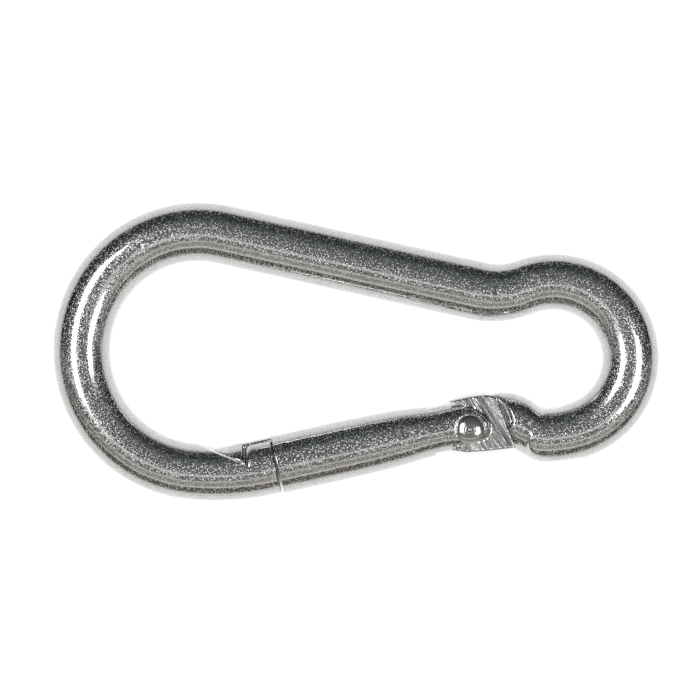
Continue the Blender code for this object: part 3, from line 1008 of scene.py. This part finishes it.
# The room above the table: (angle from straight up towards +Y, in degrees; colour).
ROOM = (
    (-96, (0.15, 0.13, 0.12)), (-88, (0.15, 0.13, 0.12)), (-80, (0.13, 0.115, 0.10)),
    (-69, (0.12, 0.105, 0.095)), (-66, (0.95, 0.93, 0.89)), (-62, (0.95, 0.93, 0.89)),
    (-59, (0.36, 0.35, 0.33)), (-44, (0.33, 0.32, 0.31)), (-41, (0.75, 0.74, 0.71)),
    (-38, (0.75, 0.74, 0.71)), (-35, (0.22, 0.22, 0.21)), (-20, (0.22, 0.22, 0.215)),
    (-17, (0.80, 0.80, 0.78)), (-13, (0.80, 0.80, 0.78)), (-9, (0.19, 0.195, 0.195)),
    (20, (0.155, 0.165, 0.165)), (35, (0.13, 0.14, 0.14)), (48, (0.09, 0.098, 0.10)),
    (60, (0.045, 0.050, 0.052)), (95, (0.035, 0.038, 0.039)),
)

# The white surround below: (angle below the horizon, in degrees; brightness).
SURROUND = ((2, 0.05), (5, 0.32), (9, 0.76), (13, 0.88), (21, 0.94), (32, 1.00), (50, 1.05), (90, 1.10))


def ramp_of(n, value, low, high, stops):
    """A colour ramp over a value's range, from (value, colour) stops."""
    ramp = n.add("ShaderNodeValToRGB")
    n.link(n.remap(value, low, high, 0.0, 1.0), ramp.inputs["Fac"])
    elements = ramp.color_ramp.elements
    while len(elements) < len(stops):
        elements.new(0.5)
    for element, (place, colour) in zip(elements, stops):
        element.position = (place - low) / (high - low)
        element.color = (*colour, 1.0)
    return ramp.outputs["Color"]


def make_world():
    """A dim studio room, darker towards +Y and striped towards -Y, over a white surround."""
    world = bpy.data.worlds.new("studio")
    world.use_nodes = True
    bpy.context.scene.world = world
    n = Nodes(world.node_tree)
    background = world.node_tree.nodes["Background"]
    direction = n.add("ShaderNodeTexCoord").outputs["Generated"]
    split = n.add("ShaderNodeSeparateXYZ")
    n.link(direction, split.inputs[0])
    turned = n.math("MULTIPLY", n.math("ARCTAN2", split.outputs["Y"], split.outputs["Z"]), math.degrees(1.0))
    room = ramp_of(n, turned, -100.0, 100.0, ROOM)
    ends = n.remap(n.math("ABSOLUTE", split.outputs["X"]), 0.45, 0.95, 1.0, 0.45)
    scale = n.add("ShaderNodeVectorMath", operation="SCALE")
    n.link(room, scale.inputs[0])
    n.link(ends, scale.inputs["Scale"])
    below = n.math("MULTIPLY", n.math("ARCSINE", split.outputs["Z"]), -math.degrees(1.0))
    glow = [(angle, (0.995 * level / 2.0, level / 2.0, 0.985 * level / 2.0)) for angle, level in SURROUND]
    white = n.add("ShaderNodeVectorMath", operation="SCALE")
    n.link(ramp_of(n, below, 0.0, 90.0, glow), white.inputs[0])
    white.inputs["Scale"].default_value = 2.0
    side = n.add("ShaderNodeMix", data_type="RGBA")
    n.link(n.remap(below, 2.0, 4.0, 0.0, 1.0), side.inputs["Factor"])
    n.link(scale.outputs[0], side.inputs["A"])
    n.link(white.outputs[0], side.inputs["B"])
    seen = n.add("ShaderNodeLightPath").outputs["Is Camera Ray"]
    mix = n.add("ShaderNodeMix", data_type="RGBA")
    n.link(seen, mix.inputs["Factor"])
    n.link(side.outputs["Result"], mix.inputs["A"])
    mix.inputs["B"].default_value = (1.0, 1.0, 1.0, 1.0)
    n.link(mix.outputs["Result"], background.inputs["Color"])


def make_camera():
    """Straight down on the hook, through a long lens."""
    data = bpy.data.cameras.new("camera")
    data.lens = LENS_MM
    data.sensor_width = SENSOR_MM
    data.clip_start = 0.01
    camera = bpy.data.objects.new("camera", data)
    camera.location = (*VIEW_CENTRE, MID_Z * MM + VIEW_WIDTH * LENS_MM / SENSOR_MM)
    bpy.context.scene.collection.objects.link(camera)
    bpy.context.scene.camera = camera


def dress(piece, body, node, material):
    """Gives a piece its material and its body, and hides the CAD node that it stands for."""
    piece.data.materials.append(material)
    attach(piece, body)
    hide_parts(node)


def main():
    bpy.context.scene.view_settings.view_transform = "Standard"
    make_camera()
    make_world()
    make_floor()
    for name, angles in SOFTBOXES.items():
        make_light(name, *angles)
    dress(make_body(), "hook", "hook_body", bar_steel("polished_bar_skin"))
    dress(make_gate(), "gate", "gate", bar_steel("polished_gate_skin", ground=True))
    steel = turned_steel("turned_rivet", RIVET_DARK, RIVET_LIGHT, 0.12, RIVET_GRAIN_PER_M)
    dress(make_rivet(), "gate", "hinge_rivet", steel)
    pin = turned_steel("turned_pin", HIDDEN_DARK, HIDDEN_LIGHT, 0.30, PIN_GRAIN_PER_M)
    dress(make_plunger(), "plunger", "spring_plunger", pin)
    wire = turned_steel("drawn_wire", HIDDEN_DARK, HIDDEN_LIGHT, 0.26, WIRE_GRAIN_PER_M)
    spring = make_spring()
    dress(spring, "gate", "gate_spring", wire)
    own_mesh(spring)


main()
